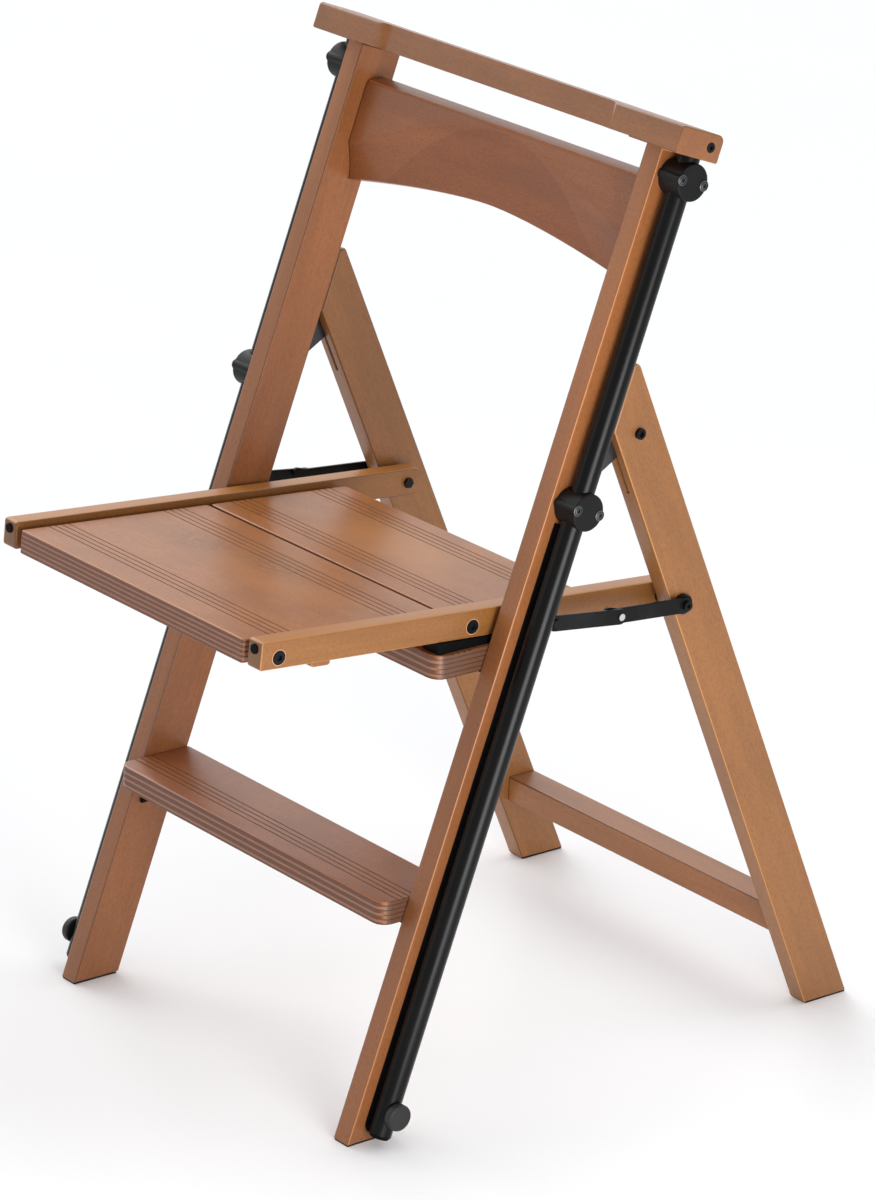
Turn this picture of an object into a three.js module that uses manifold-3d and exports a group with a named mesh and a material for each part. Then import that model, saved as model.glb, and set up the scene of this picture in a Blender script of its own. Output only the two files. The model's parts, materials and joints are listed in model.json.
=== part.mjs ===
import * as THREE from "three";
import { mergeVertices } from "three/addons/utils/BufferGeometryUtils.js";
import Module from "manifold-3d";

const wasm = await Module();
wasm.setup();

// A folding step stool chair, in millimetres and degrees. Y runs from front to back, Z up.

const FIT = 0.3;
const OVERCUT = 5;
const WELD = 0.001;
const EDGE_STEPS = 2;
const CORNER_STEPS = 4;
const ROUND_FACETS = 32;
const SMALL_FACETS = 18;
const HEX = 6;

// Front frame
const OUTER_WIDTH = 426.4;
const LEG_THICKNESS = 20.6;
const LEG_DEPTH = 46.5;
const LEG_EDGE = 1.6;
const FRONT_LEAN = 19.4;
const LEG_TOP = 894.5;
const PAD_THICKNESS = 1.4;
const PAD_INSET = 1.2;

// Treads
const TREAD_THICKNESS = 21.6;
const TREAD_CORNER = 12;
const TREAD_EDGE = 1.1;
const LOWER_TREAD_TOP = 208.8;
const LOWER_TREAD_OVERHANG = 29;
const UPPER_TREAD_BELOW_PIVOT = 5.6;
const UPPER_TREAD_OVERHANG = 55.5;
const TREAD_BACK_INSET = 0.5;
const GROOVE_WIDTH = 1.2;
const GROOVE_DEPTH = 1;
const TREAD_GROOVE_FIRST = 18;
const TREAD_GROOVE_PITCH = 6.2;
const TREAD_GROOVES = 4;
const BRACKET_WIDTH = 15;
const BRACKET_SHEET = 2.5;
const BRACKET_DROP = 22;
const BRACKET_REACH = 22;
const BRACKET_BEHIND = 4;
const BRACKET_RADIUS = 3;

// Rests under the seat rails
const REST_START = 5;
const REST_LENGTH = 62;
const REST_OVERHANG = 2;

// Back slat
const SLAT_DROP = 23.3;
const SLAT_HEIGHT = 96;
const SLAT_FRONT = 17;
const SLAT_LIP_DROP = 6.5;
const SLAT_TOP_BACK = 33;
const SLAT_BACK_TOP = 37;
const SLAT_BACK_LOW = 42;
const SLAT_FOOT_FRONT = 30;
const SLAT_ARCH_RISE = 22;
const SLAT_ARCH_POWER = 1.6;
const SLAT_DISH_DROP = 10;
const SLAT_DISH_RISE = 54;
const SLAT_DISH_POWER = 1.7;
const SLAT_DISH_EASE = 1.35;
const SLAT_SOFT = 2;
const SLAT_COLUMNS = 24;
const SLAT_ROWS = 7;

// Hinge between the frames
const HINGE_UP = 656.3;
const HINGE_BEHIND = 28.8;
const HINGE_PLATE_SHEET = 3;
const HINGE_PLATE_BELOW = 50.3;
const HINGE_PLATE_ABOVE = 15.7;
const HINGE_PLATE_LET_IN = 15;
const HINGE_PLATE_RADIUS = 10;
const HINGE_SHANK_RADIUS = 3;
const HINGE_HEAD_RADIUS = 5;
const HINGE_HEAD_HEIGHT = 3;
const HINGE_BLIND = 4;

// Rear frame
const REAR_LEAN = 24.4;
const REAR_DEPTH = 46.5;
const REAR_TOP_GAP = 0.4;
const REAR_TOP_RADIUS = 4;
const KERF_WIDTH = 4;
const KERF_BELOW = 52;
const KERF_BEYOND = 14;
const STRETCHER_TOP = 92.3;
const STRETCHER_HEIGHT = 25;
const STRETCHER_DEPTH = 32;
const STRETCHER_AHEAD = 12.3;
const STRETCHER_RADIUS = 2;
const STRETCHER_EDGE = 1;

// Seat pivot, from the hinge along the rear leg
const PIVOT_DOWN = 175.5;
const PIVOT_AHEAD = 14;
const PIVOT_SHANK_RADIUS = 3;
const PIVOT_INNER_HEAD_RADIUS = 5;
const PIVOT_HEAD_HEIGHT = 3;
const PIVOT_SPACER_RADIUS = 7;
const PIVOT_OUTER_HEAD_RADIUS = 4.5;

// Seat
const SEAT_TILT = 3.97;
const RAIL_THICKNESS = 18;
const RAIL_GAP = 6.6;
const RAIL_HEIGHT = 25;
const RAIL_FRONT = 438.5;
const RAIL_BEHIND = 16.5;
const RAIL_EDGE = 1.3;
const RAIL_REAR_RADIUS = 9;
const RAIL_FRONT_RADIUS = 3;
const PANEL_GAP = 7;
const PANEL_THICKNESS = 21;
const PANEL_DROP = 4.65;
const PANEL_EDGE = 1.2;
const PANEL_CORNER = 3;
const FRONT_PANEL_LENGTH = 202.4;
const PANEL_SPLIT = 3.6;
const REAR_PANEL_LENGTH = 153.5;
const FRONT_GROOVE_INSETS = [29, 153.5];
const REAR_GROOVE_INSETS = [22, 113.2];
const PANEL_GROOVE_PITCH = 7;
const PANEL_GROOVES = 4;
const BATTEN_WIDTH = 20;
const FRONT_BATTEN_THICKNESS = 13.5;
const REAR_BATTEN_THICKNESS = 10;
const BATTEN_EDGE = 1;
const BATTEN_RADIUS = 3;
const FRONT_BATTEN_START = 74.5;
const REAR_BATTEN_START = 112;
const SEAT_BOLT_AHEAD = 19;
const SEAT_BOLT_BEHIND_SPLIT = 20;
const SEAT_SHANK_RADIUS = 3;
const SEAT_HEAD_RADIUS = 6.2;
const SEAT_HEAD_HEIGHT = 2.6;
const SEAT_HEAD_PROUD = 0.6;
const SEAT_SPACER_RADIUS = 6;
const SEAT_BOLT_REACH = 12;
const BUFFER_RADIUS = 4.2;
const BUFFER_LENGTH = 6;
const BUFFER_PROUD = 1.6;
const BUFFER_ABOVE = 5;

// Lifting handle
const TUBE_RADIUS = 10;
const TUBE_WALL = 1.5;
const TUBE_OFFSET = 11.8;
const TUBE_BEHIND = 20.8;
const TUBE_LOW = 19;
const TUBE_LET_IN = 13;
const PLUG_DOME = 3;
const PLUG_STEM = 12;
const PLUG_DOME_SHARE = 0.8;
const CLAMP_RADIUS = 16.5;
const CLAMP_LENGTH = 26.3;
const CLAMP_EDGE = 1;
const TOP_CLAMP_DROP = 20.1;
const MIDDLE_CLAMP_HEIGHT = 583.8;
const LUG_RADIUS = 5;
const LUG_OFFSET = 13;
const CHANNEL_FRONT = 11.6;
const CHANNEL_BACK = 30;
const CHANNEL_LOW = 16;
const CHANNEL_HIGH = 566;
const CHANNEL_DEPTH = 2.4;
const KNOB_HEIGHT = 39.8;
const KNOB_RADIUS = 12;
const KNOB_LENGTH = 8;
const KNOB_EDGE = 1.6;
const KNOB_SHANK_RADIUS = 3;
const KNOB_SHANK_LENGTH = 10;
const TOP_RAIL_END = 12;
const TOP_RAIL_GAP = 0.5;
const TOP_RAIL_HEIGHT = 24;
const TOP_RAIL_FRONT = -16.5;
const TOP_RAIL_BACK = 33.5;
const TOP_RAIL_BACK_RADIUS = 6;
const TOP_RAIL_RADIUS = 3;
const TOP_RAIL_LOW_RADIUS = 1.6;
const TOP_RAIL_EDGE = 1.3;
const SCOOP_MARGIN = 85;
const SCOOP_DEPTH = 5;
const SCOOP_RADIUS = 14;
const RELIEF_MARGIN = 6;
const RELIEF_DEPTH = 1;
const RELIEF_INSET = 6;
const HANDLE_SCREW_RADIUS = 4.25;
const HANDLE_SCREW_HEAD = 3;
const HANDLE_SCREW_PROUD = 0.6;
const HANDLE_SHANK_RADIUS = 2;

// Folding stays
const STAY_PIVOT_UP = 483;
const STAY_PIVOT_BEHIND = 38.6;
const STAY_SHEET = 2.5;
const STAY_RADIUS = 7;
const STAY_EDGE = 0.4;
const STAY_REAR_OFFSET = 5;
const STAY_SPLIT_SHARE = 0.512;
const STAY_DROP = 1.6;
const STAY_BOLT_RADIUS = 3;
const STAY_BOLT_SPACER = 6.5;
const STAY_BOLT_HEAD = 4.5;
const STAY_BOLT_REACH = 12;
const STAY_SPACER_RADIUS = 9;
const STAY_LUG_RADIUS = 3.5;
const STAY_LUG_BEYOND = 16.5;
const STAY_LUG_UP = 6.5;
const RIVET_RADIUS = 2;
const RIVET_HEAD_RADIUS = 3.2;
const RIVET_HEAD_HEIGHT = 1.4;
const HEAD_HEIGHT = 2.6;

// Hexagon sockets in the bolt heads
const SOCKET_RADIUS = 2.9;
const SOCKET_DEPTH = 1.7;
const SMALL_SOCKET_RADIUS = 2.2;

// Lengths that follow from the sizes
const frontLean = THREE.MathUtils.degToRad(FRONT_LEAN);
const rearLean = THREE.MathUtils.degToRad(REAR_LEAN);
const seatTilt = THREE.MathUtils.degToRad(SEAT_TILT);
const legOuter = OUTER_WIDTH / 2;
const legInner = legOuter - LEG_THICKNESS;
const legMiddle = (legOuter + legInner) / 2;
const railOuter = legInner - RAIL_GAP;
const railInner = railOuter - RAIL_THICKNESS;
const panelHalf = railInner - PANEL_GAP;
const footLevel = PAD_THICKNESS + FIT;
const tubeX = legOuter + TUBE_OFFSET;
const stayRearX = legOuter + STAY_REAR_OFFSET;
const stayFrontX = stayRearX + STAY_SHEET + FIT;
const stayOuterX = stayFrontX + STAY_SHEET;
const topRailLow = LEG_TOP + TOP_RAIL_GAP;
const hingePlateLow = HINGE_UP - HINGE_PLATE_BELOW;
const hingePlateHigh = HINGE_UP + HINGE_PLATE_ABOVE;
const slatTop = LEG_TOP - SLAT_DROP;
const topClampHeight = LEG_TOP - TOP_CLAMP_DROP;
const topRailHalf = tubeX + TUBE_RADIUS + TOP_RAIL_END;
const scoopHalf = topRailHalf - SCOOP_MARGIN;
const reliefHalf = legInner - RELIEF_MARGIN;
const panelTop = RAIL_HEIGHT / 2 - PANEL_DROP;
const panelMiddle = panelTop - PANEL_THICKNESS / 2;

const wood = { color: 0x8a5a3c, roughness: 0.45, metalness: 0 };
const seatWood = { color: 0xa5785a, roughness: 0.45, metalness: 0 };
const satinBlack = { color: 0x1c1c1e, roughness: 0.35, metalness: 0.6 };
const blackPlastic = { color: 0x242426, roughness: 0.6, metalness: 0 };
const greyPlastic = { color: 0x3a3a3c, roughness: 0.55, metalness: 0 };
const darkSteel = { color: 0x3c3c40, roughness: 0.35, metalness: 0.9 };
const brightSteel = { color: 0xb8b8bc, roughness: 0.3, metalness: 1 };
const blackRubber = { color: 0x161616, roughness: 0.85, metalness: 0 };

const X = new THREE.Vector3(1, 0, 0);
const Y = new THREE.Vector3(0, 1, 0);
const Z = new THREE.Vector3(0, 0, 1);
const ACROSS_X = new THREE.Matrix4().makeBasis(Y, Z, X);

function solidOf(geometry) {
  const bare = geometry.clone();
  bare.deleteAttribute("normal");
  bare.deleteAttribute("uv");
  const merged = mergeVertices(bare, WELD);
  return new wasm.Manifold(
    new wasm.Mesh({
      numProp: 3,
      vertProperties: merged.attributes.position.array,
      triVerts: new Uint32Array(merged.index.array),
    }),
  );
}

function geometryOf(solid) {
  const mesh = solid.getMesh();
  const corners = new Float32Array(mesh.vertProperties);
  const geometry = new THREE.BufferGeometry();
  geometry.setAttribute("position", new THREE.BufferAttribute(corners, 3));
  geometry.setIndex(new THREE.BufferAttribute(new Uint32Array(mesh.triVerts), 1));
  return geometry;
}

function fuse(...pieces) {
  return geometryOf(pieces.map(solidOf).reduce((whole, piece) => whole.add(piece)));
}

function cut(body, ...cutters) {
  return geometryOf(cutters.map(solidOf).reduce((rest, cutter) => rest.subtract(cutter), solidOf(body)));
}

function mirrored(geometry) {
  const copy = geometry.clone().scale(-1, 1, 1);
  const index = copy.index.array;
  for (let i = 0; i < index.length; i += 3) {
    [index[i], index[i + 1]] = [index[i + 1], index[i]];
  }
  return copy;
}

// Points on an arc about a centre, from one angle to another, counter-clockwise.
function arc(centre, radius, from, to, steps) {
  const points = [];
  for (let i = 0; i <= steps; i += 1) {
    const angle = from + ((to - from) * i) / steps;
    points.push(new THREE.Vector2(centre.x + radius * Math.cos(angle), centre.y + radius * Math.sin(angle)));
  }
  return points;
}

// The rounding of one corner, as points on an arc that touches both sides.
function rounding(before, here, after, radius) {
  const back = before.clone().sub(here).normalize();
  const ahead = after.clone().sub(here).normalize();
  const half = back.angleTo(ahead) / 2;
  const reach = radius / Math.sin(half);
  const centre = back.clone().add(ahead).normalize().multiplyScalar(reach).add(here);
  const start = back.clone().multiplyScalar(radius / Math.tan(half)).add(here).sub(centre);
  const end = ahead.clone().multiplyScalar(radius / Math.tan(half)).add(here).sub(centre);
  const sweep = Math.atan2(start.cross(end), start.dot(end));
  return arc(centre, radius, start.angle(), start.angle() + sweep, CORNER_STEPS);
}

// An outline from corners given as [across, up, radius].
function outline(corners) {
  const points = corners.map(([across, up]) => new THREE.Vector2(across, up));
  const count = points.length;
  return points.flatMap((here, i) => {
    const radius = corners[i][2] ?? 0;
    if (radius === 0) return [here];
    return rounding(points[(i + count - 1) % count], here, points[(i + 1) % count], radius);
  });
}

function circle(across, up, radius, facets = ROUND_FACETS) {
  const centre = new THREE.Vector2(across, up);
  return arc(centre, radius, 0, 2 * Math.PI, facets).slice(1);
}

// A flat piece of an outline, its edges softened by the given amount.
function slab(points, thickness, edge) {
  const depth = thickness - 2 * edge;
  const geometry = new THREE.ExtrudeGeometry(new THREE.Shape(points), {
    depth,
    bevelEnabled: edge > 0,
    bevelThickness: edge,
    bevelSize: edge,
    bevelOffset: -edge,
    bevelSegments: EDGE_STEPS,
  });
  return geometry.translate(0, 0, -depth / 2);
}

// A slab whose outline lies in Y and Z, between two places along X.
function upright(points, from, to, edge = 0) {
  return slab(points, to - from, edge).applyMatrix4(ACROSS_X).translate((from + to) / 2, 0, 0);
}

// A slab whose outline lies in X and Y, between two heights.
function level(points, low, high, edge = 0) {
  return slab(points, high - low, edge).translate(0, 0, (low + high) / 2);
}

function block([x0, x1], [y0, y1], [z0, z1]) {
  const box = new THREE.BoxGeometry(x1 - x0, y1 - y0, z1 - z0);
  return box.translate((x0 + x1) / 2, (y0 + y1) / 2, (z0 + z1) / 2);
}

function rodAcross(radius, from, to, [y, z], facets = SMALL_FACETS) {
  const rod = new THREE.CylinderGeometry(radius, radius, to - from, facets);
  return rod.rotateZ(-Math.PI / 2).translate((from + to) / 2, y, z);
}

function rodUp(radius, from, to, [x, y], facets = ROUND_FACETS) {
  const rod = new THREE.CylinderGeometry(radius, radius, to - from, facets);
  return rod.rotateX(Math.PI / 2).translate(x, y, (from + to) / 2);
}

// A closed skin over a row of outlines that have equally many points.
function loft(sections) {
  const count = sections[0].length;
  const flat = sections[0].map((point) => new THREE.Vector2(point.y, point.z));
  const cap = THREE.ShapeUtils.triangulateShape(flat, []);
  const last = (sections.length - 1) * count;
  const index = cap.flatMap(([a, b, c]) => [a, c, b]);
  cap.forEach(([a, b, c]) => index.push(last + a, last + b, last + c));
  for (let i = 0; i + 1 < sections.length; i += 1) {
    for (let j = 0; j < count; j += 1) {
      const a = i * count + j;
      const b = i * count + ((j + 1) % count);
      index.push(a, b, b + count, a, b + count, a + count);
    }
  }
  const geometry = new THREE.BufferGeometry().setFromPoints(sections.flat());
  geometry.setIndex(index);
  return geometry;
}

function add(group, name, geometry, look) {
  const mesh = new THREE.Mesh(geometry, new THREE.MeshStandardMaterial(look));
  mesh.name = name;
  group.add(mesh);
}

function addPair(group, name, geometry, look) {
  add(group, `${name}_right`, geometry, look);
  add(group, `${name}_left`, mirrored(geometry), look);
}

function groupAt(name, y, z, angle) {
  const group = new THREE.Group();
  group.name = name;
  group.position.set(0, y, z);
  group.rotation.x = angle;
  return group;
}

// From a place behind and up along a leaning piece to one in the level frame.
function placed(origin, angle, [y, z]) {
  return [
    origin[0] + y * Math.cos(angle) - z * Math.sin(angle),
    origin[1] + y * Math.sin(angle) + z * Math.cos(angle),
  ];
}

const hingeInLeg = [LEG_DEPTH + HINGE_BEHIND, HINGE_UP];
const hinge = placed([0, 0], -frontLean, hingeInLeg);
const pivotInRear = [-PIVOT_AHEAD, -PIVOT_DOWN];
const pivot = placed(hinge, rearLean, pivotInRear);
const stayFront = placed([0, 0], -frontLean, [STAY_PIVOT_BEHIND, STAY_PIVOT_UP]);
const stayMiddle = middlePivot();
const upperTreadTop = pivot[1] - UPPER_TREAD_BELOW_PIVOT;
const upperTreadFront = legFrontAt(upperTreadTop) - UPPER_TREAD_OVERHANG;
const lowerTreadFront = legFrontAt(LOWER_TREAD_TOP) - LOWER_TREAD_OVERHANG;

function middlePivot() {
  const run = [stayFront[0] - pivot[0], stayFront[1] - pivot[1]];
  const length = Math.hypot(run[0], run[1]);
  return [
    pivot[0] + run[0] * STAY_SPLIT_SHARE + (run[1] / length) * STAY_DROP,
    pivot[1] + run[1] * STAY_SPLIT_SHARE + (run[0] / length) * STAY_DROP,
  ];
}

function footHeight(behind) {
  return (footLevel + behind * Math.sin(frontLean)) / Math.cos(frontLean);
}

function frontLeg() {
  const profile = outline([
    [0, footHeight(0)],
    [LEG_DEPTH, footHeight(LEG_DEPTH)],
    [LEG_DEPTH, LEG_TOP],
    [0, LEG_TOP],
  ]);
  const slotHalf = HINGE_PLATE_SHEET / 2 + FIT;
  const slot = block(
    [legMiddle - slotHalf, legMiddle + slotHalf],
    [LEG_DEPTH - HINGE_PLATE_LET_IN - FIT, LEG_DEPTH + OVERCUT],
    [hingePlateLow - FIT, hingePlateHigh + FIT],
  );
  const recess = upright(channelOutline(FIT), legOuter - CHANNEL_DEPTH - FIT, legOuter + OVERCUT);
  const bore = rodAcross(
    STAY_BOLT_RADIUS + FIT,
    legOuter - STAY_BOLT_REACH - FIT,
    legOuter + OVERCUT,
    [STAY_PIVOT_BEHIND, STAY_PIVOT_UP],
  );
  return cut(upright(profile, legInner, legOuter, LEG_EDGE), slot, recess, bore);
}

function channelOutline(spare) {
  const radius = (CHANNEL_BACK - CHANNEL_FRONT) / 2 + spare - WELD;
  return outline([
    [CHANNEL_FRONT - spare, CHANNEL_LOW - spare, radius],
    [CHANNEL_BACK + spare, CHANNEL_LOW - spare, radius],
    [CHANNEL_BACK + spare, CHANNEL_HIGH + spare],
    [CHANNEL_FRONT - spare, CHANNEL_HIGH + spare],
  ]);
}

// The plate's outline runs from the slot in the leg round the hinge.
function hingePlate() {
  const centre = new THREE.Vector2(...hingeInLeg);
  const low = new THREE.Vector2(LEG_DEPTH, hingePlateLow);
  const high = new THREE.Vector2(LEG_DEPTH, hingePlateHigh);
  const angles = [low, high].map((corner) => {
    const away = corner.clone().sub(centre);
    return [Math.atan2(away.y, away.x), Math.acos(HINGE_PLATE_RADIUS / away.length())];
  });
  const from = angles[0][0] + angles[0][1];
  const to = angles[1][0] - angles[1][1];
  const seatedDepth = LEG_DEPTH - HINGE_PLATE_LET_IN;
  const points = [
    new THREE.Vector2(seatedDepth, hingePlateLow),
    low,
    ...arc(centre, HINGE_PLATE_RADIUS, from, to, 2 * CORNER_STEPS),
    high,
    new THREE.Vector2(seatedDepth, hingePlateHigh),
  ];
  const half = HINGE_PLATE_SHEET / 2;
  const plate = upright(points, legMiddle - half, legMiddle + half);
  return cut(plate, rodAcross(HINGE_SHANK_RADIUS + FIT, legInner, legOuter, hingeInLeg));
}

function legFrontAt(height) {
  return height * Math.tan(frontLean);
}

function legBackAt(height) {
  return legFrontAt(height) + LEG_DEPTH / Math.cos(frontLean);
}

function grooves(starts, count, pitch, top, half) {
  return starts.flatMap((start) =>
    Array.from({ length: count }, (_, i) => {
      const middle = start + i * pitch;
      return block(
        [-half - OVERCUT, half + OVERCUT],
        [middle - GROOVE_WIDTH / 2, middle + GROOVE_WIDTH / 2],
        [top - GROOVE_DEPTH, top + OVERCUT],
      );
    }),
  );
}

function tread(top, front) {
  const half = legInner - FIT;
  const low = top - TREAD_THICKNESS;
  const back = legBackAt(top);
  const plan = outline([
    [-half, front, TREAD_CORNER],
    [half, front, TREAD_CORNER],
    [half, back + OVERCUT],
    [-half, back + OVERCUT],
  ]);
  const behind = outline([
    [legBackAt(low - OVERCUT) - TREAD_BACK_INSET, low - OVERCUT],
    [back + LEG_DEPTH, low - OVERCUT],
    [back + LEG_DEPTH, top + OVERCUT],
    [legBackAt(top + OVERCUT) - TREAD_BACK_INSET, top + OVERCUT],
  ]);
  return cut(
    level(plan, low, top, TREAD_EDGE),
    upright(behind, -legOuter, legOuter),
    ...grooves([front + TREAD_GROOVE_FIRST], TREAD_GROOVES, TREAD_GROOVE_PITCH, top, half),
  );
}

function treadBracket(treadTop) {
  const high = treadTop - TREAD_THICKNESS - FIT;
  const outer = legInner - FIT;
  const start = legFrontAt(high) + BRACKET_BEHIND;
  const corners = [
    [outer, high],
    [outer - BRACKET_REACH, high],
    [outer - BRACKET_REACH, high - BRACKET_SHEET],
    [outer - BRACKET_SHEET, high - BRACKET_SHEET, BRACKET_RADIUS],
    [outer - BRACKET_SHEET, high - BRACKET_DROP],
    [outer, high - BRACKET_DROP],
  ];
  const angle = slab(outline(corners), BRACKET_WIDTH, 0).rotateX(Math.PI / 2);
  return geometryOf(solidOf(angle.translate(0, start + BRACKET_WIDTH / 2, 0)));
}

function railBottomAt(y) {
  const below = RAIL_HEIGHT / 2 / Math.cos(seatTilt);
  return pivot[1] + (pivot[0] - y) * Math.tan(seatTilt) - below;
}

function seatRest() {
  const start = upperTreadFront + REST_START;
  const end = start + REST_LENGTH;
  const low = upperTreadTop + FIT;
  const profile = outline([
    [start, low],
    [end, low],
    [end, railBottomAt(end) - FIT],
    [start, railBottomAt(start) - FIT],
  ]);
  return geometryOf(solidOf(upright(profile, railInner, railOuter + REST_OVERHANG)));
}

function slatSection(x) {
  const share = Math.abs(x) / legInner;
  const low = slatTop - SLAT_HEIGHT + SLAT_ARCH_RISE * (1 - share ** SLAT_ARCH_POWER);
  const dish = slatTop - SLAT_DISH_DROP - SLAT_DISH_RISE * share ** SLAT_DISH_POWER;
  const lip = slatTop - SLAT_LIP_DROP;
  const points = [
    [SLAT_FRONT + SLAT_SOFT, lip + SLAT_SOFT / 2],
    [SLAT_FRONT, lip - SLAT_SOFT],
  ];
  for (let i = 0; i <= SLAT_ROWS; i += 1) {
    const down = i / SLAT_ROWS;
    const depth = 1 - (1 - down) ** SLAT_DISH_EASE;
    const front = SLAT_FRONT + (SLAT_FOOT_FRONT - SLAT_FRONT) * depth;
    points.push([front, dish + (low - dish) * down]);
  }
  points.push([SLAT_BACK_LOW - SLAT_SOFT, low]);
  points.push([SLAT_BACK_LOW, low + SLAT_SOFT]);
  points.push([SLAT_BACK_TOP, slatTop - SLAT_SOFT]);
  points.push([SLAT_TOP_BACK, slatTop]);
  return points.map(([y, z]) => new THREE.Vector3(x, y, z));
}

function backSlat() {
  const half = legInner - FIT;
  const sections = Array.from({ length: SLAT_COLUMNS + 1 }, (_, i) =>
    slatSection(-half + (2 * half * i) / SLAT_COLUMNS),
  );
  return geometryOf(solidOf(loft(sections)));
}

function guideClamp(height) {
  const from = legOuter + FIT;
  const to = legOuter + CLAMP_LENGTH;
  const barrel = upright(circle(TUBE_BEHIND, height, CLAMP_RADIUS), from, to, CLAMP_EDGE);
  const lugs = [-LUG_OFFSET, LUG_OFFSET].map((offset) =>
    rodAcross(LUG_RADIUS, from, to, [TUBE_BEHIND + offset, height]),
  );
  const passage = rodUp(
    TUBE_RADIUS + FIT,
    height - CLAMP_RADIUS - OVERCUT,
    height + CLAMP_RADIUS + OVERCUT,
    [tubeX, TUBE_BEHIND],
  );
  return cut(fuse(barrel, ...lugs), passage);
}

function footPad(frontEdge, lean, depth) {
  const length = depth / Math.cos(lean);
  return geometryOf(
    solidOf(
      block(
        [legInner + PAD_INSET, legOuter - PAD_INSET],
        [frontEdge + PAD_INSET, frontEdge + length - PAD_INSET],
        [0, PAD_THICKNESS],
      ),
    ),
  );
}

function stayFrontBolt() {
  const at = [STAY_PIVOT_BEHIND, STAY_PIVOT_UP];
  return fuse(
    rodAcross(STAY_BOLT_RADIUS, legOuter - STAY_BOLT_REACH, stayOuterX + HEAD_HEIGHT, at),
    rodAcross(STAY_BOLT_SPACER, legOuter + FIT, stayFrontX - FIT, at),
    rodAcross(STAY_BOLT_HEAD, stayOuterX + FIT, stayOuterX + HEAD_HEIGHT, at, HEX),
  );
}

function buildFrontFrame(chair) {
  const frame = groupAt("front_frame", 0, 0, -frontLean);
  chair.add(frame);
  addPair(frame, "front_leg", frontLeg(), wood);
  add(frame, "back_slat", backSlat(), wood);
  addPair(frame, "hinge_plate", hingePlate(), darkSteel);
  addPair(frame, "guide_channel", guideChannel(), satinBlack);
  addPair(frame, "top_guide_clamp", guideClamp(topClampHeight), greyPlastic);
  addPair(frame, "middle_guide_clamp", guideClamp(MIDDLE_CLAMP_HEIGHT), greyPlastic);
  addPair(frame, "stay_front_bolt", stayFrontBolt(), satinBlack);
  add(chair, "lower_tread", tread(LOWER_TREAD_TOP, lowerTreadFront), wood);
  add(chair, "upper_tread", tread(upperTreadTop, upperTreadFront), wood);
  addPair(chair, "lower_tread_bracket", treadBracket(LOWER_TREAD_TOP), blackPlastic);
  addPair(chair, "upper_tread_bracket", treadBracket(upperTreadTop), blackPlastic);
  addPair(chair, "seat_rest", seatRest(), blackRubber);
  addPair(chair, "front_foot_pad", footPad(0, frontLean, LEG_DEPTH), blackRubber);
}

function guideChannel() {
  return geometryOf(solidOf(upright(channelOutline(0), legOuter - CHANNEL_DEPTH, legOuter)));
}

function rearFootHeight(behind) {
  return (footLevel - hinge[1] - behind * Math.sin(rearLean)) / Math.cos(rearLean);
}

// The rear leg's top is cut to lie along the front leg's rear face when the frames stand open.
function rearLeg() {
  const half = REAR_DEPTH / 2;
  const open = frontLean + rearLean;
  const away = HINGE_BEHIND - REAR_TOP_GAP;
  const topAt = (behind) => (behind * Math.cos(open) + away) / Math.sin(open);
  const profile = outline([
    [-half, rearFootHeight(-half)],
    [half, rearFootHeight(half)],
    [half, topAt(half), REAR_TOP_RADIUS],
    [-half, topAt(-half), REAR_TOP_RADIUS],
  ]);
  const kerf = block(
    [legMiddle - KERF_WIDTH / 2, legMiddle + KERF_WIDTH / 2],
    [-half - OVERCUT, KERF_BEYOND],
    [-KERF_BELOW, topAt(half) + OVERCUT],
  );
  return cut(
    upright(profile, legInner, legOuter, LEG_EDGE),
    kerf,
    rodAcross(HINGE_SHANK_RADIUS + FIT, legInner + HINGE_BLIND - FIT, legOuter + OVERCUT, [0, 0]),
    rodAcross(PIVOT_SHANK_RADIUS + FIT, legInner - OVERCUT, legOuter + OVERCUT, pivotInRear),
  );
}

// A hexagon socket in a head that ends at the given place along X.
function socket(end, at, radius = SOCKET_RADIUS) {
  return rodAcross(radius, end - SOCKET_DEPTH, end + OVERCUT, at, HEX);
}

function hingeBolt() {
  const at = [0, 0];
  const start = legOuter + FIT;
  const end = start + HINGE_HEAD_HEIGHT;
  const bolt = fuse(
    rodAcross(HINGE_SHANK_RADIUS, legInner + HINGE_BLIND, end, at),
    rodAcross(HINGE_HEAD_RADIUS, start, end, at),
  );
  return cut(bolt, socket(end, at));
}

function seatPivotBolt() {
  const at = pivotInRear;
  const innerEnd = railInner - FIT - PIVOT_HEAD_HEIGHT;
  const outerStart = stayRearX + STAY_SHEET + FIT;
  const outerEnd = outerStart + HEAD_HEIGHT;
  const bolt = fuse(
    rodAcross(PIVOT_SHANK_RADIUS, innerEnd, outerEnd, at),
    rodAcross(PIVOT_INNER_HEAD_RADIUS, innerEnd, railInner - FIT, at, HEX),
    rodAcross(PIVOT_SPACER_RADIUS, railOuter + FIT, legInner - FIT, at),
    rodAcross(STAY_SPACER_RADIUS, legOuter + FIT, stayRearX - FIT, at),
    rodAcross(PIVOT_OUTER_HEAD_RADIUS, outerStart, outerEnd, at),
  );
  return cut(bolt, socket(outerEnd, at, SMALL_SOCKET_RADIUS));
}

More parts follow.
